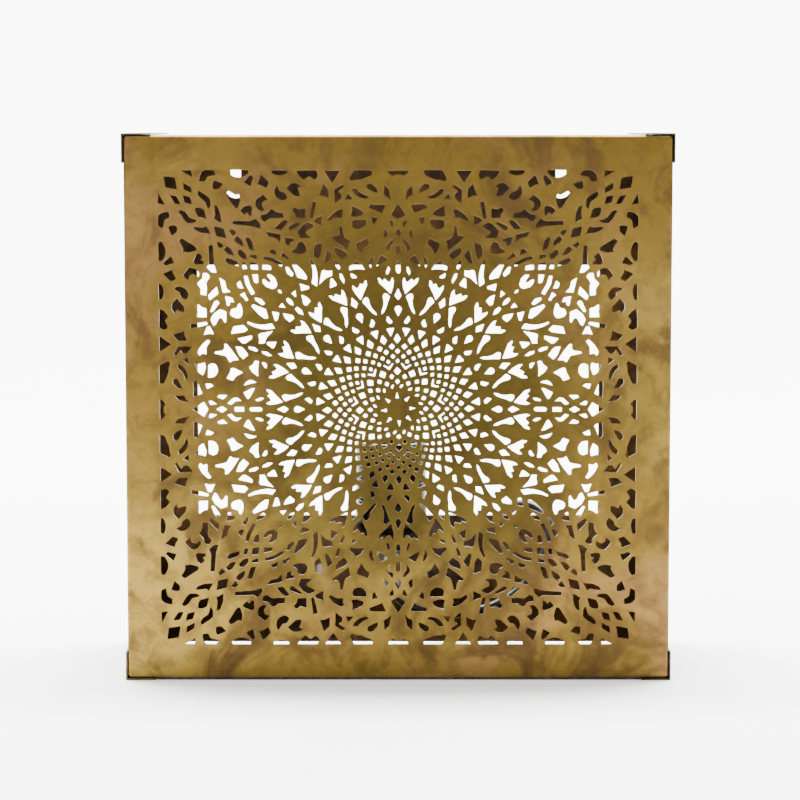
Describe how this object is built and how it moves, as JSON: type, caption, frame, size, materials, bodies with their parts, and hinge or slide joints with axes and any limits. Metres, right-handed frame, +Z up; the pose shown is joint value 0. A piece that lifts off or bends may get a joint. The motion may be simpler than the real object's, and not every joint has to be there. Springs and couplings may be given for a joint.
{
  "type": "pierced brass wall light",
  "caption": "Square box-shaped wall light with a pierced arabesque brass face, a rear window and an upright screw-in lampholder.",
  "frame": {"origin": "centre of the base at half the depth", "axes": "+Z up, the pierced face looks along -Y, the wall is on the +Y side"},
  "size_m": [0.3038, 0.122, 0.3024],
  "materials": {
    "pierced_brass": "antique brass sheet with brown patina clouds, worn lighter along the cut edges",
    "shell_brass": "antique brass sheet, plain",
    "back_brass": "unpolished antique brass sheet with brown patina",
    "dark_metal": "blackened thin angle",
    "zinc_steel": "zinc plated",
    "contact_metal": "clean brass contacts",
    "black_plastic": "glossy black moulded resin",
    "porcelain": "white glazed ceramic insert",
    "white_plastic": "white moulded nylon",
    "flex_black": "smooth black sheathed flex"
  },
  "bodies": {
    "root": {"front_panel": "pierced_brass", "side_wall_left": "shell_brass", "side_wall_right": "shell_brass", "top_wall": "shell_brass", "bottom_wall": "shell_brass", "corner_angle_top_left": "dark_metal", "corner_angle_top_right": "dark_metal", "corner_angle_bottom_left": "dark_metal", "corner_angle_bottom_right": "dark_metal", "back_panel": "back_brass", "panel_screw_upper_left": "zinc_steel", "panel_screw_upper_right": "zinc_steel", "panel_screw_lower_left": "zinc_steel", "panel_screw_lower_right": "zinc_steel", "panel_nut_upper_left": "zinc_steel", "panel_nut_upper_right": "zinc_steel", "panel_nut_lower_left": "zinc_steel", "panel_nut_lower_right": "zinc_steel", "lampholder_cap": "black_plastic", "lampholder_skirt": "black_plastic", "lampholder_insert": "porcelain", "lampholder_thread": "contact_metal", "lampholder_contact": "contact_metal", "nipple": "zinc_steel", "nipple_nut": "zinc_steel", "lock_washer": "zinc_steel", "flex_bush": "black_plastic", "holder_bracket": "zinc_steel", "bracket_screw_upper": "zinc_steel", "bracket_screw_lower": "zinc_steel", "bracket_nut_upper": "zinc_steel", "bracket_nut_lower": "zinc_steel", "flex": "flex_black", "flex_clip": "zinc_steel", "flex_clip_screw": "zinc_steel", "terminal_block": "white_plastic", "terminal_tube_live": "contact_metal", "terminal_tube_neutral": "contact_metal", "terminal_tube_earth": "contact_metal", "terminal_screw_upper": "zinc_steel", "terminal_screw_lower": "zinc_steel", "earth_tag": "contact_metal", "earth_screw": "zinc_steel", "earth_nut": "zinc_steel"}
  },
  "joints": []
}
